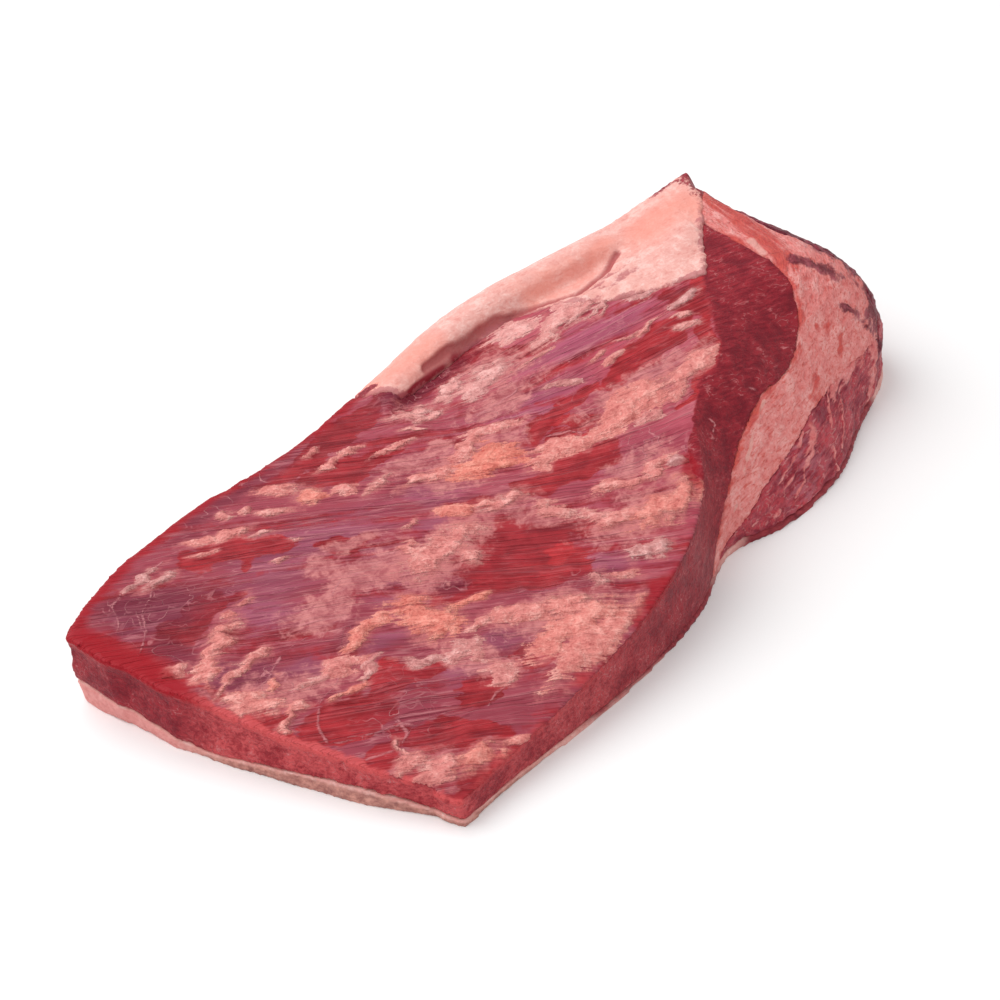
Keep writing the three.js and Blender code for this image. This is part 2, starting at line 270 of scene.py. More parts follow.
# For bare lean, where the skin is cut away, the value is how bright the red is.
BARE = [
    (-92, -24, -60, -48, 8, 0.3), (-72, -24, -36, -34, 15, 0.2), (-62, -44, -44, -60, 9, 0.5),
    (-42, -22, -26, -44, 6, 0.3), (-20, -12, 16, -27, 9, 0.5), (0, -2, 19, -12, 2.6, 0.8),
    (12, 0, 25, -9, 3, 0.8), (2, 4, 40, 3, 4.5, 0.6), (46, -6, 104, -8, 8, 0.6),
    (-52, 12, -39, -7, 2.8, 0.2), (-156, -34, -128, -46, 7, 0.7), (-162, -62, -136, -90, 8, 0.5),
    (-190, -36, -160, -46, 9, 0.5), (-130, -66, -119, -72, 6, 0.4), (-100, -74, -80, -80, 6, 0.4),
    (-2, 75, 38, 66, 6, 0.3), (28, 66, 52, 42, 4.5, 0.2), (-150, 80, -122, 56, 8, 0.4),
    (-80, 70, -44, 55, 7, 0.3), (-90, 84, -24, 84, 7, 0.2), (-222, 76, -208, 34, 9, 0.4),
    (-202, 50, -166, 48, 9, 0), (60, -38, 96, -36, 3, 1), (-170, -95, -158, -98, 6, 0.3),
    (110, 4, 118, -16, 8, 0.4), (-185, -60, -170, -64, 4, 0.6), (-106, 34, -92, 24, 4, 0.3),
    (-50, -44, -42, -52, 4, 1), (150, 22, 122, 0, 5, 0.8), (106, -18, 88, -33, 5, 0.9),
    (-206, 20, -196, -30, 3, 0.7),
]
# Pale threads of membrane, each with half its width and the places it runs through.
THREADS = [
    (0.9, (-186, 87), (-174, 85), (-162, 87)), (0.8, (-206, 70), (-198, 80), (-189, 86)),
    (0.7, (-199, 60), (-190, 70), (-178, 76)), (0.6, (-212, 52), (-200, 60), (-192, 72)),
    (1.0, (-190, -40), (-185, -32), (-176, -24), (-165, -22), (-157, -17)), (0.8, (-188, -42), (-176, -50)),
    (0.8, (-181, -44), (-170, -52), (-158, -57)), (0.8, (-186, -57), (-174, -63)),
    (0.8, (-171, -68), (-163, -61), (-159, -53)), (0.9, (-128, -76), (-122, -74), (-114, -76)),
    (0.7, (-192, 0), (-175, 6), (-165, 8), (-154, 7)), (0.7, (-131, 11), (-117, 17)),
    (0.9, (66, 31), (85, 22), (107, 16)), (0.9, (2, 1), (16, -9)),
    (0.9, (-24, 70), (-20, 75), (-12, 74), (-8, 67), (-12, 61), (-20, 60), (-24, 65)),
    (0.9, (-14, 67), (-9, 64), (-6, 60)), (0.9, (-4, 63), (-6, 56), (2, 50), (12, 46)),
    (0.8, (12, 44), (26, 40), (40, 36), (56, 30)), (0.7, (-2, 38), (14, 34), (30, 30), (48, 22)),
    (0.8, (20, 47), (36, 42), (50, 38)),
]
# Thin translucent fat, and where the silver skin is thick and lilac. The last value isn't used there.
HAZE = [
    (-150, 14, -126, 5, 12, 0), (-126, 9, -90, 8, 13, 0), (-125, 34, -112, 24, 7, 0),
    (-112, 34, -86, 24, 4, 0), (-100, -2, -48, -6, 14, 0), (-50, 26, 0, 14, 14, 0), (-8, 40, 34, 26, 10, 0),
    (-46, -2, -24, -40, 8, 0), (0, -36, 30, -46, 8, 0), (-120, -40, -104, -70, 12, 0),
    (-90, -60, -50, -82, 14, 0), (20, 60, 40, 40, 16, 0), (-200, 4, -160, -20, 12, 0),
    (20, -10, 95, -30, 12, 0), (-24, -55, 26, -72, 13, 0), (-60, 45, -20, 36, 7, 0),
]
LILAC = [
    (-166, 30, -150, 22, 14, 0), (-150, 50, -84, 34, 18, 0), (-196, 20, -180, 6, 9, 0),
    (-200, 70, -180, 66, 12, 0), (-98, 18, -92, 14, 6, 0), (-80, 12, -62, 4, 8, 0),
    (-60, 30, -40, 12, 8, 0), (-30, 36, 34, 12, 14, 0), (34, 34, 112, 14, 12, 0), (0, -34, 26, -46, 7, 0),
    (-145, -18, -122, -26, 6, 0), (-106, -54, -84, -64, 6, 0), (-40, -58, -22, -78, 8, 0),
    (-178, -2, -156, -6, 7, 0), (-120, -2, -100, -12, 10, 0), (-130, -52, -116, -60, 8, 0),
]
# Where threads of the skin cross like a web, and how dark the wine red under them is.
WEB = [
    (-214, 84, -160, 54, 17, 1), (-206, 62, -196, 30, 9, 0.8), (-200, 24, -172, -20, 16, 0.7),
    (-176, -60, -130, -40, 18, 0.3), (-120, -60, -60, -70, 16, 0.3), (-10, 40, 40, 10, 18, 0.1),
    (20, -30, 40, -60, 14, 0.3), (-160, 94, -60, 92, 7, 0.8), (-30, 82, 36, 68, 9, 0.9),
    (-76, 40, -30, 26, 5, 0.6), (-98, -16, -82, -24, 5, 0.8), (40, 24, 96, 14, 7, 0.3),
    (-60, -58, -30, -80, 9, 0.5), (64, 60, 118, 30, 6, 0.5), (-150, -4, -128, -12, 5, 0.7),
]

# The edge between the lean side and the cut side, from the far corner round to the thin end.
CUT_EDGE = [
    (186, 46), (164, 34), (152, 24), (138, 13), (127, 3), (116, -9), (107, -19), (97, -31), (85, -36),
    (66, -39), (47, -50), (32, -63), (20, -80), (0, -91), (-21, -97), (-45, -102), (-75, -105),
    (-121, -107), (-178, -107),
]
FAR_RIM = [(-226, 84), (-200, 94), (-170, 100), (-140, 102), (-90, 100), (-50, 97), (-18, 95)]
THIN_END = [(-226, 84), (-214, 22), (-198, -32), (-177, -94), (-174, -103)]
NEAR_RIM = [(-174, -101), (-120, -101), (-75, -99), (-40, -95), (-10, -88), (15, -78), (33, -62)]

flat = copy_layer("flat_muscle", "flat_muscle_meat", 1.0, 3)
points, facing = skin_of(flat)
depth = depth_below_top(points, facing)
grain, heading = along_grain(points)
# Random lumps: drawn out along the grain, in broad bundles, and fine. The drift makes edges wander.
streaks = clouds(grain, (26, 3.2, 12), 11, 3)
bundles = clouds(grain, (90, 11, 30), 12)
lumps = clouds(points, 4.5, 13, 3)
drift = np.stack([clouds(points, 13, 14), clouds(points, 13, 15), 0 * depth], axis=1)
feather = clouds(grain, (40, 2.4, 12), 16)
warped = points + heading * 3 * feather[:, None] + 3 * drift
# How far each point lies inside the patches, with ragged edges, and their last values.
fat, tint = patches(warped, FAT)
fat = np.clip(fat * 1.5, -2.5, 1) + 0.3 * streaks + 0.35 * lumps
bare, redness = patches(warped + 2 * drift, BARE)
bare = np.clip(bare * 1.5, -1, 1) + 0.25 * streaks + 0.2 * lumps
haze = np.clip(patches(warped, HAZE)[0] * 1.3, -1, 1) + 0.35 * clouds(points, 20, 17)
lilac = np.clip(patches(warped, LILAC)[0] * 1.2, -1, 1) + 0.3 * bundles
web, shade = patches(points + 3 * drift, WEB)
web = np.clip(1.6 * web + 0.3 * streaks, 0, 1)
shade = shade * web
thread = np.clip(strips((points + 2.2 * drift)[:, :2], THREADS), -2, 1) + 0.35 * lumps
skin = 0.4 * bundles + 0.35 * streaks + 0.3 - 1.4 * step(-0.35, 0.25, bare)
# The cut side, and the bright red rims where the knife went round the edge of the top. Along the far rim the red
# is partly painted light, a glow of light shining through the thin edge.
edge_width = 1.5 + 3.5 * step(40, 100, points[:, 0])
edge_side = step(-edge_width, edge_width, beside(points + 1.6 * drift, CUT_EDGE)[1] + 1.2 * streaks)
side = np.maximum(edge_side, 1 - step(0.35, 0.6, facing[:, 2]))
lip_width = 2.5 + 13 * step(8, 45, points[:, 1])
at_end = 1 - step(0.4, 1, (np.abs(beside(points, THIN_END)[1]) + 2.5 * lumps) / lip_width)
at_far = 1 - step(2, 7, np.abs(beside(points, FAR_RIM)[1]) + 2 * streaks)
from_near = np.abs(beside(points + 1.6 * drift, NEAR_RIM)[1]) + 1.5 * lumps
at_near = 0.9 * step(-0.3, 0.4, clouds(points, 16, 18)) * (1 - step(2, 5.5, from_near))
lip = 2.5 + 3 * step(55, 75, points[:, 1]) + 9 * step(84, 92, points[:, 1])
rim = np.maximum(np.maximum(at_end, at_far), at_near) * (1 - step(0.6, 1.4, (depth + 1.5 * lumps) / lip))
# Pale threads on the cut faces: under the lip of the thin end, and flecks on the near side.
LIP_LINE = [(0.8, (-225, 72, 33.5), (-223, 60, 32), (-219, 44, 31.2), (-215, 28, 31))]
FLECKS = [
    (0.9, (76, -45, 61), (82, -45, 60), (89, -47, 59), (95, -51, 56), (100, -54, 51)),
    (0.7, (62, -49, 57), (64, -52, 53), (60, -54, 52)), (0.6, (50, -57, 51), (57, -57, 47), (60, -59, 44)),
    (0.6, (42, -59, 55), (48, -58, 51)), (0.6, (49, -62, 44), (54, -64, 38)),
    (0.6, (66, -56, 46), (70, -54, 48)), (2.2, (27, -61, 54), (31, -64, 54)),
    (1.8, (20, -69, 52), (25, -71, 51)), (0.7, (30, -70, 42), (22, -78, 28), (20, -82, 18)),
    (0.6, (6, -86, 26), (2, -90, 12)), (0.6, (-10, -90, 24), (-14, -93, 16)),
]
thread = np.maximum(thread, np.clip(strips(points + 0.8 * drift, LIP_LINE + FLECKS), -2, 1))
# Less fat stays along the near rim, and on the cut side only the rind beside the end of the cap.
near_cut = 1 - step(0.5, 4, from_near)
fat = np.where(side > 0.5, -2.5, fat - 0.7 * near_cut * step(-0.4, 0.4, clouds(points, 9, 62)))
rind_top = 44 * step(-120, -18, points[:, 0]) + 5 * clouds(points, 12, 61, 3)
rind = side * step(60, 80, points[:, 1]) * step(1.5, -1.5, points[:, 2] - rind_top)
rind = rind * step(-125, -105, points[:, 0] + 8 * lumps)
pale = step(30, 60, points[:, 1]) * step(-40, 0, points[:, 0])
# Relief in millimetres: thick fat and grain on the top, lumps on the cut side, a lip at the thin end.
thick = 0.35 + 1.1 * step(0.1, 1.1, fat)
on_top = 1 - side
relief = on_top * (
    step(-0.3, 0.6, fat) * thick * (1 + 0.5 * lumps + 0.3 * feather)
    + (1 - step(0, 0.3, fat)) * (0.3 * bundles + 0.2 * streaks)
    + 0.3 * step(-0.3, 0.1, skin)
)
relief += side * (0.3 * clouds(points, 6, 19, 3) + 0.15 * clouds(points, 2.5, 20))
relief += 0.3 * on_top * step(0, 0.8, thread)
relief += at_end * side * (1.2 * (1 - step(1, 5, depth)) - 0.8 * step(5, 8, depth) * (1 - step(12, 20, depth)))
lift(flat, relief)
# Painted light, for light that falls unevenly: the skin is painted lighter towards the thick end, and the cut side
# brighter at the thin end and on the near side towards it.
far = step(-120, 120, points[:, 0])
front = step(14, 4, np.abs(beside(points, THIN_END)[1])) * step(34, 0, points[:, 1])
front = np.maximum(front, 0.15 * at_far)
front = np.maximum(front, 0.7 * step(0, -110, points[:, 0]) * step(-60, -90, points[:, 1]))
store(flat, fat=fat, tint=tint, skin=skin, redness=redness, haze=haze, lilac=lilac, web=web, shade=shade)
store(flat, rind=rind, rim=rim, side=side, pale=pale, far=far, front=front, thread=thread, grain=grain * MM)


def node(tree, kind, inputs=None, **settings):
    """Adds a shader node, sets it up and joins or sets its inputs."""
    made = tree.nodes.new("ShaderNode" + kind)
    for name, value in settings.items():
        setattr(made, name, value)
    for name, value in (inputs or {}).items():
        socket = made.inputs[name]
        if isinstance(value, bpy.types.NodeSocket):
            tree.links.new(value, socket)
        else:
            socket.default_value = value
    return made


def number(tree, operation, a, b=0.0, c=0.0):
    """One step of arithmetic on shader values."""
    return node(tree, "Math", {0: a, 1: b, 2: c}, operation=operation).outputs[0]


def times(tree, *values):
    """All the values multiplied."""
    product = values[0]
    for value in values[1:]:
        product = number(tree, "MULTIPLY", product, value)
    return product


def ramp(tree, value, low, high, start=0.0, end=1.0):
    """A value turned into a smooth share: start at low, end at high."""
    inputs = {"Value": value, "From Min": low, "From Max": high, "To Min": start, "To Max": end}
    return node(tree, "MapRange", inputs, interpolation_type="SMOOTHSTEP").outputs[0]


def blend(tree, share, first, second):
    """One colour turning into another."""
    mix = node(tree, "Mix", {"Factor": share}, data_type="RGBA")
    for socket, colour in ((mix.inputs[6], first), (mix.inputs[7], second)):
        if isinstance(colour, bpy.types.NodeSocket):
            tree.links.new(colour, socket)
        else:
            socket.default_value = (*colour, 1)
    return mix.outputs[2]


def noise(tree, place, scale, detail=2.0, rough=0.55, warp=0.0):
    """Soft noise from 0 to 1, with its scale given along each axis as lumps to a metre."""
    stretched = node(tree, "Mapping", {"Vector": place, "Scale": scale}).outputs[0]
    inputs = {"Vector": stretched, "Scale": 1.0, "Detail": detail, "Roughness": rough, "Distortion": warp}
    value = node(tree, "TexNoise", inputs).outputs[0]
    return node(tree, "MapRange", {"Value": value, "From Min": 0.28, "From Max": 0.72}).outputs[0]


def thin_lines(tree, place, scale, width):
    """Thin wavy lines that part and meet: 1 on a line, 0 beside it."""
    stretched = node(tree, "Mapping", {"Vector": place, "Scale": scale}).outputs[0]
    inputs = {"Vector": stretched, "Scale": 1.0, "Detail": 1.5, "Roughness": 0.5, "Distortion": 0.5}
    value = node(tree, "TexNoise", inputs).outputs[0]
    away = number(tree, "ABSOLUTE", number(tree, "SUBTRACT", value, 0.5))
    return ramp(tree, away, 0.0, width, 1.0, 0.0)


def read(tree, name):
    """A value or a place that is kept on the skin."""
    attribute = node(tree, "Attribute", attribute_name=name)
    return attribute.outputs["Vector" if name == "grain" else "Fac"]


# How strongly moist meat and fat reflect, and how rough they are.
WEAK_GLOSS = 0.14
MOIST = 0.42


def new_material(name):
    """A moist material with a soft, weak gloss."""
    material = bpy.data.materials.new(name)
    material.use_nodes = True
    tree = material.node_tree
    shader = tree.nodes["Principled BSDF"]
    shader.inputs["Specular IOR Level"].default_value = WEAK_GLOSS
    return material, tree, shader


def finish_material(tree, shader, colour, roughness, height):
    """Joins the colour, the roughness and the fine relief, with its height in millimetres."""
    tree.links.new(colour, shader.inputs["Base Color"])
    tree.links.new(roughness, shader.inputs["Roughness"])
    bump = node(tree, "Bump", {"Height": height, "Distance": MM, "Strength": 1.0})
    tree.links.new(bump.outputs[0], shader.inputs["Normal"])


def new_group(name, inputs, outputs):
    """An empty node group with named inputs and outputs."""
    group = bpy.data.node_groups.new(name, "ShaderNodeTree")
    for socket, kind in inputs:
        group.interface.new_socket(socket, in_out="INPUT", socket_type="NodeSocket" + kind)
    for socket, kind in outputs:
        group.interface.new_socket(socket, in_out="OUTPUT", socket_type="NodeSocket" + kind)
    return group, group.nodes.new("NodeGroupInput").outputs, group.nodes.new("NodeGroupOutput").inputs


def place_group(tree, group, **inputs):
    """Places a node group in a material, with its inputs joined or set."""
    made = tree.nodes.new("ShaderNodeGroup")
    made.node_tree = group
    for name, value in inputs.items():
        socket = made.inputs[name.replace("_", " ")]
        if isinstance(value, bpy.types.NodeSocket):
            tree.links.new(value, socket)
        else:
            socket.default_value = (*value, 1) if isinstance(value, tuple) else value
    return made.outputs


# Waxy fat, mottled and lumpy and drawn out along its grain, for every piece of fat.
waxy_fat, given, made = new_group(
    "waxy fat",
    [("Place", "Vector"), ("Grain", "Vector"), ("Deep", "Color"), ("Middle", "Color"), ("Light", "Color")],
    [("Color", "Color"), ("Height", "Float")],
)
big = noise(waxy_fat, given["Place"], (150, 150, 150), 3.0, 0.6, 0.3)
small = noise(waxy_fat, given["Place"], (900, 900, 900), 1.0, 0.5)
drawn = noise(waxy_fat, given["Grain"], (120, 300, 260), 3.0, 0.6, 0.6)
shreds = number(waxy_fat, "ABSOLUTE", number(waxy_fat, "MULTIPLY_ADD", drawn, 2.0, -1.0))
shreds = number(waxy_fat, "SUBTRACT", 1.0, shreds)
mottle = number(waxy_fat, "MULTIPLY_ADD", big, 0.50, times(waxy_fat, shreds, 0.28))
mottle = number(waxy_fat, "MULTIPLY_ADD", small, 0.22, mottle)
colour = blend(waxy_fat, ramp(waxy_fat, mottle, 0.15, 0.55), given["Deep"], given["Middle"])
colour = blend(waxy_fat, ramp(waxy_fat, mottle, 0.50, 0.85), colour, given["Light"])
waxy_fat.links.new(colour, made["Color"])
height = number(waxy_fat, "MULTIPLY_ADD", shreds, 0.42, times(waxy_fat, big, 0.75))
waxy_fat.links.new(number(waxy_fat, "MULTIPLY_ADD", small, 0.16, height), made["Height"])

# Lean meat cut across its fibres: dark and light red, with pale flecks of marbling.
cut_lean, given, made = new_group(
    "cut lean",
    [("Place", "Vector"), ("Grain", "Vector"), ("Dark", "Color"), ("Red", "Color"), ("Fleck", "Color"),
     ("Flecks", "Float")],
    [("Color", "Color"), ("Height", "Float")],
)
body = noise(cut_lean, given["Place"], (85, 85, 85), 2.0, 0.6)
fibres = noise(cut_lean, given["Grain"], (120, 560, 560), 3.0, 0.6, 0.4)
fine = noise(cut_lean, given["Place"], (1200, 1200, 1200), 1.0)
tone = number(cut_lean, "MULTIPLY_ADD", fibres, 0.42, times(cut_lean, body, 0.42))
tone = number(cut_lean, "MULTIPLY_ADD", fine, 0.16, tone)
colour = blend(cut_lean, ramp(cut_lean, tone, 0.2, 0.8), given["Dark"], given["Red"])
flecked = thin_lines(cut_lean, given["Grain"], (130, 330, 330), 0.035)
share = number(cut_lean, "MULTIPLY_ADD", given["Flecks"], 0.3, body)
flecked = times(cut_lean, flecked, ramp(cut_lean, share, 0.45, 0.95), ramp(cut_lean, fibres, 0.2, 0.6))
colour = blend(cut_lean, times(cut_lean, flecked, 0.8), colour, given["Fleck"])
cut_lean.links.new(colour, made["Color"])
cut_lean.links.new(number(cut_lean, "MULTIPLY_ADD", flecked, 0.2, times(cut_lean, tone, 0.9)), made["Height"])

lean, tree, shader = new_material("lean under silver skin")
here = node(tree, "TexCoord").outputs["Object"]
fibre = read(tree, "grain")
# Noise drawn out along the fibres, and even noise.
threads = noise(tree, fibre, (30, 800, 300), 3.0, 0.6)
strands = noise(tree, fibre, (11, 190, 60), 2.0, 0.55, 0.2)
broad = noise(tree, here, (26, 26, 26), 1.0)
speckle = noise(tree, here, (650, 650, 650), 2.0)
weave = number(tree, "MULTIPLY_ADD", strands, 0.5, times(tree, threads, 0.5))
far = read(tree, "far")
# Bare lean, then silver skin that turns from rosy to lilac and is darker between its strands.
red = read(tree, "redness")
meat_dark = blend(tree, red, (0.20, 0.011, 0.018), (0.30, 0.014, 0.018))
meat_light = blend(tree, red, (0.35, 0.026, 0.036), (0.54, 0.036, 0.044))
mottled = number(tree, "MULTIPLY_ADD", noise(tree, here, (110, 110, 110), 2.0), 0.4, times(tree, weave, 0.6))
meat = blend(tree, ramp(tree, mottled, 0.2, 0.8), meat_dark, meat_light)
# Painted light: each skin colour below is painted lighter towards the thick end, by the far value.
rosy = blend(tree, far, (0.34, 0.056, 0.082), (0.49, 0.086, 0.125))
purple = blend(tree, far, (0.34, 0.080, 0.130), (0.45, 0.096, 0.160))
lilac = ramp(tree, read(tree, "lilac"), -0.3, 0.7)
skin_light = blend(tree, lilac, rosy, purple)
wine = blend(tree, far, (0.26, 0.036, 0.056), (0.37, 0.048, 0.074))
plum = blend(tree, far, (0.25, 0.050, 0.086), (0.34, 0.062, 0.108))
skin_dark = blend(tree, lilac, wine, plum)
lines = noise(tree, fibre, (5, 150, 60), 2.0, 0.5, 0.1)
calm = number(tree, "MULTIPLY_ADD", lines, 0.6, times(tree, weave, 0.4))
skin_look = blend(tree, ramp(tree, calm, 0.1, 0.8), skin_dark, skin_light)
blotches = noise(tree, here, (170, 170, 170), 3.0, 0.65, 0.4)
silver = number(tree, "MULTIPLY_ADD", weave, 0.45, read(tree, "skin"))
silver = number(tree, "MULTIPLY_ADD", blotches, 0.35, silver)
silver = ramp(tree, silver, 0.15, 0.75)
colour = blend(tree, silver, meat, skin_look)
# Wine red under the web, and painted shade in the gaps between the bundles.
under_web = blend(tree, weave, (0.115, 0.010, 0.024), (0.215, 0.026, 0.050))
colour = blend(tree, times(tree, read(tree, "shade"), 0.85), colour, under_web)
gap_shade = thin_lines(tree, fibre, (18, 210, 90), 0.05)
# Painted shade: thin dark lines where the gaps between bundles lie in shadow.
colour = blend(tree, times(tree, gap_shade, ramp(tree, strands, 0.7, 0.2, 0.0, 0.5)), colour, (0.150, 0.012, 0.024))
# A thin mottled film of fat.
film = number(tree, "MULTIPLY_ADD", weave, 0.25, read(tree, "haze"))
film = number(tree, "MULTIPLY_ADD", blotches, 0.7, film)
film = number(tree, "MULTIPLY_ADD", speckle, 0.2, film)
film = ramp(tree, film, 0.45, 1.2, 0.0, 0.88)
grainy = number(tree, "MULTIPLY_ADD", speckle, 0.45, times(tree, threads, 0.55))
clotted = number(tree, "MULTIPLY_ADD", blotches, 0.65, times(tree, grainy, 0.35))
film_look = blend(tree, ramp(tree, clotted, 0.2, 0.8), (0.38, 0.092, 0.105), (0.64, 0.235, 0.225))
colour = blend(tree, film, colour, film_look)
# Pale wisps along the fibres, crossing threads in the web, and the listed threads.
long_wisps = thin_lines(tree, fibre, (7, 150, 60), 0.034)
short_wisps = thin_lines(tree, fibre, (50, 330, 140), 0.055)
wisps = number(tree, "MAXIMUM", long_wisps, times(tree, short_wisps, ramp(tree, broad, 0.3, 0.7, 0.3, 1.0)))
crossing = thin_lines(tree, here, (105, 105, 105), 0.022)
crossing = times(tree, crossing, read(tree, "web"), ramp(tree, strands, 0.3, 0.7, 0.3, 0.9))
wisps = times(tree, wisps, number(tree, "MULTIPLY_ADD", read(tree, "web"), 0.3, 0.7))
wisps = times(tree, wisps, ramp(tree, silver, 0.0, 1.0, 0.35, 1.0), ramp(tree, threads, 0.2, 0.7, 0.35, 1.0))
wisps = times(tree, wisps, ramp(tree, read(tree, "shade"), 0.0, 1.0, 1.0, 0.35))
drawn_out = number(tree, "MULTIPLY_ADD", number(tree, "SUBTRACT", threads, 0.5), 0.8, read(tree, "thread"))
drawn_out = ramp(tree, drawn_out, 0.1, 0.95, 0.0, 0.8)
webbed = number(tree, "MAXIMUM", number(tree, "MAXIMUM", times(tree, wisps, 0.8), crossing), drawn_out)
colour = blend(tree, times(tree, webbed, 0.8), colour, (0.62, 0.235, 0.255))
# Patches of fat from greyish to orange, with a thin smear round them.
tint = read(tree, "tint")
greyish = ramp(tree, tint, -1.0, 0.0, 1.0, 0.0)
orange = ramp(tree, tint, 0.0, 1.0)
deep = blend(tree, orange, blend(tree, greyish, (0.47, 0.115, 0.110), (0.42, 0.15, 0.155)), (0.52, 0.095, 0.072))
middle = blend(tree, orange, blend(tree, greyish, (0.70, 0.235, 0.215), (0.60, 0.27, 0.26)), (0.76, 0.220, 0.170))
light = blend(tree, orange, blend(tree, greyish, (0.88, 0.400, 0.360), (0.82, 0.47, 0.45)), (0.92, 0.350, 0.270))
fat_look = place_group(
    tree, waxy_fat, Place=here, Grain=fibre, Deep=blend(tree, read(tree, "pale"), deep, (0.60, 0.24, 0.23)),
    Middle=blend(tree, read(tree, "pale"), middle, (0.75, 0.33, 0.31)),
    Light=blend(tree, read(tree, "pale"), light, (0.86, 0.46, 0.43)),
)
ragged = number(tree, "MULTIPLY_ADD", number(tree, "SUBTRACT", threads, 0.5), 0.6, read(tree, "fat"))
ragged = number(tree, "MULTIPLY_ADD", number(tree, "SUBTRACT", speckle, 0.5), 0.35, ragged)
ragged = number(tree, "MULTIPLY_ADD", number(tree, "SUBTRACT", strands, 0.5), 0.4, ragged)
softness = ramp(tree, broad, 0.2, 0.8, 0.15, 0.8)
fatty = node(tree, "MapRange", {"Value": ragged, "From Min": -0.05, "From Max": softness},
             interpolation_type="SMOOTHSTEP").outputs[0]
smear = times(tree, ramp(tree, ragged, -0.7, 0.0, 0.0, 0.6), ramp(tree, blotches, 0.2, 0.8, 0.2, 1.0))
colour = blend(tree, smear, colour, (0.56, 0.165, 0.165))
colour = blend(tree, fatty, colour, fat_look["Color"])
# The cut side, the rind of fat beside the cap, and the bright rims.
# Painted light: the cut side is painted brighter where the front value is high, at the thin end and on the near
# side.
side_look = place_group(
    tree, cut_lean, Place=here, Grain=fibre, Flecks=0.3, Fleck=(0.60, 0.20, 0.21),
    Dark=blend(tree, read(tree, "front"), (0.175, 0.010, 0.020), (0.28, 0.018, 0.028)),
    Red=blend(tree, read(tree, "front"), (0.340, 0.024, 0.036), (0.60, 0.090, 0.096)),
)
sided = ramp(tree, read(tree, "side"), 0.3, 0.7)
colour = blend(tree, sided, colour, side_look["Color"])
colour = blend(tree, times(tree, drawn_out, sided), colour, (0.62, 0.24, 0.25))
fat_edge = number(tree, "MULTIPLY_ADD", number(tree, "SUBTRACT", speckle, 0.5), 0.3, read(tree, "rind"))
rind_look = blend(tree, blotches, (0.62, 0.20, 0.19), (0.80, 0.42, 0.375))
colour = blend(tree, ramp(tree, fat_edge, 0.3, 0.6), colour, rind_look)
# The bright rims: red cut edges, and along the far rim partly a painted glow of light through the thin edge.
rosiness = number(tree, "MULTIPLY_ADD", grainy, 0.5, read(tree, "front"))
bright = blend(tree, ramp(tree, rosiness, 0.35, 1.4), (0.34, 0.007, 0.015), (0.60, 0.085, 0.088))
colour = blend(tree, times(tree, read(tree, "rim"), 0.9), colour, bright)
# Fine relief in millimetres.
flesh_height = times(tree, threads, ramp(tree, silver, 0.0, 1.0, 0.32, 0.10))
flesh_height = number(tree, "MULTIPLY_ADD", gap_shade, -0.25, flesh_height)
flesh_height = number(tree, "MULTIPLY_ADD", webbed, 0.35, flesh_height)
fat_height = times(tree, fat_look["Height"], ramp(tree, ragged, 0.0, 0.8, 0.25, 1.0))
top_height = node(tree, "Mix", {"Factor": fatty, 2: flesh_height, 3: fat_height}).outputs[0]
height = node(tree, "Mix", {"Factor": sided, 2: top_height, 3: side_look["Height"]}).outputs[0]
dull = number(tree, "MULTIPLY_ADD", fatty, 0.12, MOIST)
finish_material(tree, shader, colour, dull, height)
flat.data.materials.append(lean)
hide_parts("flat_muscle")
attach(flat, "root")

# The point muscle
# The coarser, darker lean under the thick end, which shows on the near side and at the far end. Thick
# strands of fat run through it, and its knife-cut edge is ragged and bright.
BAND = [(190, 60), (188, 20), (180, -15), (160, -38), (130, -58), (95, -66), (60, -74), (30, -84)]


def along_band(points):
    """Places measured along the band of fat that wraps the thick end, across it, and up."""
    along, left = beside(points, BAND)
    return np.stack([along, left, points[:, 2]], axis=1)


point = copy_layer("point_muscle", "point_muscle_meat", 0.75, 3)
points = skin_of(point)[0]
grain = along_band(points)
drawn = clouds(grain, (26, 3.5, 3.5), 31, 3)
wander = np.stack([clouds(points, 8, 32), clouds(points, 8, 33), clouds(points, 8, 34)], axis=1)
# Strands of fat, each with half its width and the places it runs through, and a dark film at the top.
STRANDS = [
    (1.2, (144, -59, 36), (141, -62, 31), (136, -69, 23), (129, -77, 13), (127, -81, 5)),
    (1.0, (112, -71, 30), (100, -74, 24), (86, -76, 18), (70, -78, 12)),
    (0.9, (84, -79, 12), (74, -79, 9), (62, -79, 6)), (6.0, (176, -55, 34), (156, -59, 33), (146, -62, 30)),
    (2.2, (120, -70, 28), (112, -74, 21), (104, -77, 15)),
    (5.0, (192, -54, 34), (190, -57, 20), (181, -61, 8)),
    (1.0, (150, -66, 24), (143, -71, 17), (137, -77, 9)),
    (0.9, (110, -76, 20), (100, -80, 13), (90, -82, 8)),
    (0.9, (126, -70, 26), (110, -74, 23), (96, -77, 18), (84, -80, 12)), (1.4, (78, -82, 8), (72, -81, 5)),
    (1.0, (104, -80, 16), (98, -82, 9)),
]
DARK_TOP = [
    (6, (186, 58, 82), (187, 40, 80), (188, 20, 77)),
    (15, (188, 10, 76), (192, -12, 72), (199, -28, 62), (203, -42, 48)),
    (6, (196, -48, 40), (198, -54, 24)),
]
fat = np.clip(strips(points + 1.6 * wander, STRANDS), -2, 1) + 0.5 * drawn
film = np.clip(strips(points + 3 * wander, DARK_TOP), -2, 1) + 0.3 * drawn
relief = 0.7 * clouds(points, (9, 9, 5), 35, 3) + 0.35 * clouds(points, 2.5, 36) + 0.6 * step(0, 0.5, fat)
relief += 0.5 * clouds(points, 5, 37) * step(-0.5, 0.2, film)
greyed = 0.15 + 0.45 * step(130, 105, points[:, 0]) * step(80, 95, points[:, 0])
lift(point, relief)
store(point, fat=fat, film=film, greyed=greyed, grain=grain * MM)
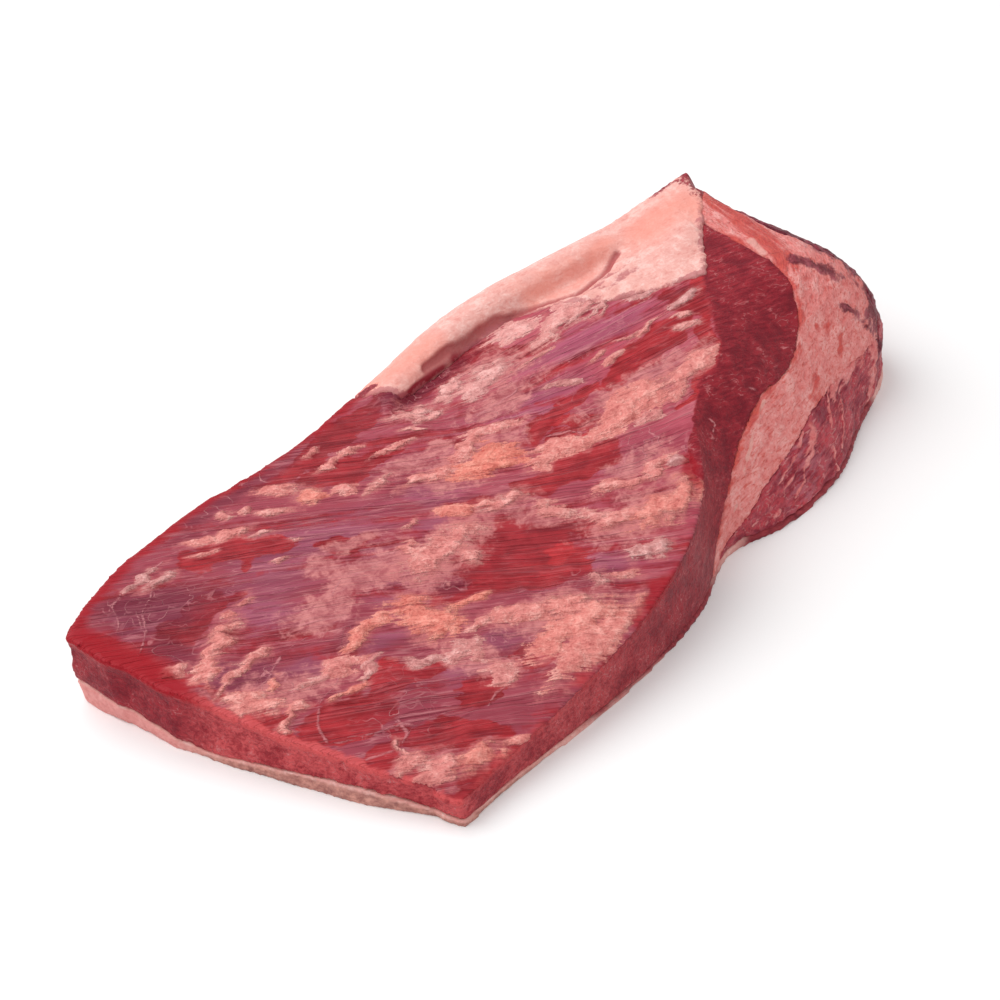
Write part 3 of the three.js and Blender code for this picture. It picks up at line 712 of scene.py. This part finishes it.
coarse, tree, shader = new_material("coarse lean")
here = node(tree, "TexCoord").outputs["Object"]
band = read(tree, "grain")
look = place_group(
    tree, cut_lean, Place=here, Grain=band, Dark=(0.20, 0.014, 0.030), Red=(0.52, 0.062, 0.078),
    Fleck=(0.64, 0.26, 0.26), Flecks=1.1,
)
fat_look = place_group(
    tree, waxy_fat, Place=here, Grain=band, Deep=(0.54, 0.090, 0.090), Middle=(0.72, 0.21, 0.20),
    Light=(0.84, 0.35, 0.33),
)
stripes = noise(tree, band, (40, 420, 420), 3.0, 0.6)
fatty = number(tree, "MULTIPLY_ADD", number(tree, "SUBTRACT", stripes, 0.5), 1.3, read(tree, "fat"))
fatty = ramp(tree, fatty, -0.1, 0.6, 0.0, 0.9)
greyed = times(tree, ramp(tree, stripes, 0.3, 0.8), read(tree, "greyed"))
colour = blend(tree, greyed, look["Color"], (0.50, 0.16, 0.20))
blotches = noise(tree, here, (190, 190, 190), 3.0, 0.6, 0.4)
skinned = number(tree, "MULTIPLY_ADD", number(tree, "SUBTRACT", blotches, 0.5), 0.8, read(tree, "film"))
purple = blend(tree, ramp(tree, blotches, 0.3, 1.0), (0.105, 0.007, 0.018), (0.32, 0.055, 0.080))
colour = blend(tree, ramp(tree, skinned, -0.3, 0.6, 0.0, 0.95), colour, purple)
colour = blend(tree, fatty, colour, fat_look["Color"])
height = number(tree, "MULTIPLY_ADD", fatty, 0.4, look["Height"])
finish_material(tree, shader, colour, number(tree, "MULTIPLY_ADD", fatty, 0.1, MOIST), height)
point.data.materials.append(coarse)
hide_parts("point_muscle")
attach(point, "root")

# The fat between the muscles
# A wedge of soft pink fat that holds the two muscles together. It shows in the near side and wraps the
# thick end, and it is streaked where the knife drew along it.
seam = copy_layer("seam_fat", "fat_between_muscles", 0.75, 3)
points = skin_of(seam)[0]
grain = along_band(points)
drawn = clouds(grain, (30, 4, 4), 41, 3)
wander = np.stack([clouds(points, 9, 42), clouds(points, 9, 43), clouds(points, 9, 44)], axis=1)
# A dark film along the far edge, redder fat, and cream streaks, each as strips like the strands above.
FAR_EDGE = [
    (3.5, (186, 60, 82), (189, 40, 80), (191, 20, 77)), (6, (192, 14, 76), (196, 0, 73), (199, -12, 70)),
    (10, (199, -16, 69), (202, -30, 61), (203, -42, 50), (202, -54, 34)),
    (4, (174, -18, 75), (182, -28, 69), (190, -36, 61)),
    (3, (178, -44, 54), (186, -46, 48), (192, -50, 38)),
]
RED_BAND = [
    (11, (184, 44, 80), (182, 24, 79), (180, 10, 78), (176, -2, 77), (169, -12, 76)),
    (4, (140, -57, 40), (130, -62, 36)), (3, (168, -50, 45), (164, -52, 42)),
    (3, (158, -44, 57), (164, -46, 52)),
]
CREAM = [
    (2.8, (168, 4, 79), (164, -4, 78)), (1.4, (97, -56, 50), (80, -62, 40), (62, -68, 28), (48, -74, 14)),
]
film = np.clip(strips(points + 2 * wander, FAR_EDGE), -2, 1) + 0.35 * drawn
blush = np.clip(strips(points + 2 * wander, RED_BAND), -2, 1) + 0.4 * drawn
cream = np.clip(strips(points + 1.5 * wander, CREAM), -2, 1) + 0.3 * drawn
lean_tree = skin_tree("flat_muscle")
to_lean = np.array([lean_tree.find_nearest(Vector(p) * MM)[3] for p in points]) / MM
blush = np.maximum(blush, 0.5 - to_lean / 5 + 0.5 * drawn)
lift(seam, 0.3 + 0.35 * drawn + 0.3 * clouds(points, 7, 45, 3))
store(seam, film=film, blush=blush, cream=cream, grain=grain * MM)
pink, tree, shader = new_material("pink fat")
here = node(tree, "TexCoord").outputs["Object"]
band = read(tree, "grain")
look = place_group(
    tree, waxy_fat, Place=here, Grain=band, Deep=(0.60, 0.125, 0.115), Middle=(0.74, 0.235, 0.220),
    Light=(0.82, 0.37, 0.345),
)
stripes = noise(tree, band, (40, 420, 420), 3.0, 0.6)
spread = number(tree, "SUBTRACT", stripes, 0.5)
dashes = noise(tree, band, (190, 900, 900), 2.0, 0.6, 0.5)
blotches = noise(tree, here, (150, 150, 150), 3.0, 0.62, 0.5)
colour = blend(tree, ramp(tree, dashes, 0.56, 0.95, 0.0, 0.8), look["Color"], (0.56, 0.085, 0.065))
reddened = ramp(tree, number(tree, "MULTIPLY_ADD", spread, 0.8, read(tree, "blush")), 0.0, 0.7, 0.0, 0.85)
colour = blend(tree, reddened, colour, blend(tree, dashes, (0.44, 0.028, 0.030), (0.66, 0.105, 0.080)))
creamy = ramp(tree, number(tree, "MULTIPLY_ADD", spread, 0.5, read(tree, "cream")), 0.0, 0.5, 0.0, 0.85)
colour = blend(tree, creamy, colour, (0.74, 0.36, 0.32))
darkened = number(tree, "MULTIPLY_ADD", number(tree, "SUBTRACT", blotches, 0.5), 1.6, read(tree, "film"))
darkened = ramp(tree, number(tree, "MULTIPLY_ADD", spread, 0.4, darkened), -0.2, 0.6, 0.0, 0.92)
purple = blend(tree, ramp(tree, blotches, 0.4, 1.0), (0.115, 0.009, 0.022), (0.36, 0.070, 0.095))
colour = blend(tree, darkened, colour, purple)
finish_material(tree, shader, colour, number(tree, "MULTIPLY_ADD", stripes, 0.1, MOIST), look["Height"])
seam.data.materials.append(pink)
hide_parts("seam_fat")
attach(seam, "root")

# The fat cap
# The thick layer of fat that the cut lies on. Along the far edge it climbs up and curls over as a smooth
# roll, and over the far corner it spreads out as a sheet.
cap = copy_layer("fat_cap", "fat_cap_layer", 1.2, 5)
points, facing = skin_of(cap)
grain = along_grain(points)[0]
soft = clouds(points, 18, 51, 2)
wander = np.stack([clouds(points, 9, 52), clouds(points, 9, 53), clouds(points, 9, 54)], axis=1)
# Strips on the cap, each with half its width and the places it runs through: the fold under the roll, darkened
# with painted shadow, the shreds of its torn edge, the meat-coloured foot on the near side, the lean that shows
# under the roll, the orange blush, partly painted shade on the roll, and the dark tips at the corners.
SHADED_CREASE = [
    (2.4, (124, 53), (112, 50), (100, 50), (90, 51), (82, 57), (74, 64), (64, 69), (54, 72), (40, 74),
     (24, 77), (8, 78)),
]
SHREDS = [(8, (118, 42, 74), (104, 41, 72), (92, 42, 69), (80, 49, 66), (70, 56, 63.5))]
NEAR_FOOT = [
    (8, (-150, -107, 8), (-110, -107, 8), (-60, -104, 7), (-10, -98, 5)),
    (11, (-10, -97, -1), (20, -93, -1), (60, -85, -1), (110, -86, -1), (150, -75, -1), (180, -64, -1)),
]
LEAN_UNDER_ROLL = [(5, (-16, 84, 47), (-10, 74, 49), (8, 72, 53), (26, 71, 56), (40, 69, 57))]
BLUSH_AND_SHADE = [
    (15, (140, 52, 78), (160, 50, 80), (172, 44, 81)),
    (9, (124, 60, 75), (104, 60, 73), (90, 62, 71), (74, 70, 67)),
    (14, (-18, 92, 48), (0, 88, 54), (16, 86, 57)),
]
TIP = [
    (8, (187, 62, 86), (187, 56, 81), (184, 48, 82)), (4.5, (180, 64, 81), (168, 67, 81)),
    (3.5, (-20, 94, 50), (-16, 90, 51)),
]
# How far each point lies inside the strips, and which way the upright skin at the thin end faces.
crease = np.clip(strips((points + 0.8 * wander)[:, :2], SHADED_CREASE), -2, 1) * step(50, 54, points[:, 2])
blush = np.clip(strips(points + 3 * wander, BLUSH_AND_SHADE), -2, 1)
film = np.clip(strips(points + 1.5 * wander, TIP), -2, 1) + 0.3 * clouds(points, 4, 55)
bared = np.clip(strips(points + wander, LEAN_UNDER_ROLL), -2, 1)
foot = np.clip(2.5 * strips(points + wander, NEAR_FOOT), 0, 1)
shreds = step(-0.1, 0.5, strips(points + 2 * wander, SHREDS))
upright = step(0.75, 0.4, facing[:, 2]) * step(-100, -150, points[:, 0])
rosy = upright * step(0, 30, points[:, 1])
stale = upright * step(30, 0, points[:, 1])
seam_tree = skin_tree("seam_fat")
to_seam = np.array([seam_tree.find_nearest(Vector(p) * MM)[3] for p in points]) / MM
to_lean = np.array([lean_tree.find_nearest(Vector(p) * MM)[3] for p in points]) / MM
# Where the cap's edge is torn and greyish.
worn = np.where(points[:, 2] > 30, 1 - to_lean / 4, -1) + 0.8 * clouds(grain, (16, 4, 6), 56, 3)
sheet_edge = step(68, 74, points[:, 2]) * (1 - step(1, 5, np.minimum(to_lean, to_seam)))
fringe = sheet_edge * step(120, 130, points[:, 0]) + 0.4 * clouds(points, 3, 59)
relief = 0.3 + 0.35 * soft + 0.15 * clouds(points, 4, 57, 2) - 1.6 * step(0, 0.8, crease)
relief += shreds * (0.5 + 1.1 * clouds(grain, (10, 2.6, 5), 60, 2))
relief += sheet_edge * (0.5 + 1.3 * clouds(points, 4.5, 58))
lift(cap, relief)
worn = np.maximum(worn, 0.6 * fringe)
worn = np.maximum(worn, shreds * (0.25 - 0.9 * clouds(grain, (10, 2.6, 5), 60, 2)))
store(cap, crease=crease, blush=blush, film=film, bared=bared, worn=worn, foot=foot, rosy=rosy, stale=stale,
      grain=grain * MM)
cream, tree, shader = new_material("cream fat")
here = node(tree, "TexCoord").outputs["Object"]
fibre = read(tree, "grain")
look = place_group(
    tree, waxy_fat, Place=here, Grain=fibre, Deep=(0.70, 0.285, 0.250), Middle=(0.79, 0.400, 0.355),
    Light=(0.87, 0.54, 0.49),
)
speckle = noise(tree, here, (650, 650, 650), 2.0)
# Orange blush of the fat; on the roll's left end and its lower side the darker pink is painted shade.
colour = blend(tree, ramp(tree, read(tree, "blush"), -0.3, 1.0, 0.0, 0.7), look["Color"], (0.84, 0.29, 0.225))
# Painted shadow: the fold under the roll is darkened where the roll's edge shades it.
colour = blend(tree, ramp(tree, read(tree, "crease"), -0.2, 0.7, 0.0, 0.85), colour, (0.40, 0.075, 0.080))
colour = blend(tree, ramp(tree, read(tree, "bared"), 0.0, 0.3), colour, (0.27, 0.022, 0.034))
torn = number(tree, "MULTIPLY_ADD", number(tree, "SUBTRACT", speckle, 0.5), 0.5, read(tree, "worn"))
colour = blend(tree, ramp(tree, torn, 0.35, 0.8, 0.0, 0.7), colour, (0.44, 0.12, 0.135))
stained = number(tree, "MULTIPLY_ADD", number(tree, "SUBTRACT", speckle, 0.5), 0.6, read(tree, "film"))
dark_skin = blend(tree, speckle, (0.15, 0.010, 0.020), (0.40, 0.060, 0.075))
colour = blend(tree, ramp(tree, stained, 0.1, 0.5), colour, dark_skin)
blotches = noise(tree, fibre, (160, 420, 420), 3.0, 0.65)
rosy_look = blend(tree, blotches, (0.56, 0.150, 0.145), (0.78, 0.33, 0.31))
colour = blend(tree, times(tree, read(tree, "rosy"), 0.8), colour, rosy_look)
aged = blend(tree, blotches, (0.20, 0.055, 0.050), (0.66, 0.31, 0.25))
colour = blend(tree, times(tree, read(tree, "stale"), 0.9), colour, aged)
meaty = blend(tree, blotches, (0.15, 0.012, 0.022), (0.42, 0.060, 0.070))
colour = blend(tree, read(tree, "foot"), colour, meaty)
finish_material(tree, shader, colour, number(tree, "MULTIPLY_ADD", speckle, 0.08, MOIST),
                times(tree, look["Height"], 0.35))
cap.data.materials.append(cream)
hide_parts("fat_cap")
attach(cap, "root")

# The table, the light and the camera
# A plain pale floor, one big soft light from behind on the left, a weak one in front, and a white room.
FLOOR_SIZE = 6
ROOM_LIGHT = 0.66
bpy.ops.object.select_all(action="DESELECT")
bpy.ops.mesh.primitive_plane_add(size=FLOOR_SIZE)
floor = bpy.context.object
floor.name = "floor"
paper, tree, shader = new_material("white paper")
shader.inputs["Base Color"].default_value = (0.95, 0.95, 0.95, 1)
shader.inputs["Roughness"].default_value = 0.9
floor.data.materials.append(paper)

world = bpy.data.worlds.new("white room")
world.use_nodes = True
world.node_tree.nodes["Background"].inputs["Color"].default_value = (1, 0.985, 0.985, 1)
world.node_tree.nodes["Background"].inputs["Strength"].default_value = ROOM_LIGHT
bpy.context.scene.world = world
bpy.context.scene.view_settings.view_transform = "Standard"

# What the lights and the camera point at.
MIDDLE = Vector((-21.1, 6.8, 30)) * MM


def add_light(name, direction, distance, size, power):
    """A soft round light, its distance and size in metres and its power in watts."""
    light = bpy.data.objects.new(name, bpy.data.lights.new(name, "AREA"))
    light.data.shape = "DISK"
    light.data.size = size
    light.data.energy = power
    away = Vector(direction).normalized()
    light.location = MIDDLE + away * distance
    light.rotation_euler = away.to_track_quat("Z", "Y").to_euler()
    bpy.context.scene.collection.objects.link(light)


add_light("soft light behind on the left", (-0.28, 0.70, 1.05), 1.8, 2.1, 26)
add_light("weak light in front", (-0.9, -0.7, 1.1), 2.0, 1.4, 4.5)

# A long lens looks down on the cut from beyond its near left corner.
CAMERA_BACK = Vector((-0.6036, -0.5065, 0.6157))
CAMERA_AWAY = 1.5
LENS = 116.28
SENSOR = 36
camera = bpy.data.objects.new("camera", bpy.data.cameras.new("camera"))
camera.data.lens = LENS
camera.data.sensor_width = SENSOR
camera.location = MIDDLE + CAMERA_BACK * CAMERA_AWAY
camera.rotation_euler = CAMERA_BACK.to_track_quat("Z", "Y").to_euler()
bpy.context.scene.collection.objects.link(camera)
bpy.context.scene.camera = camera
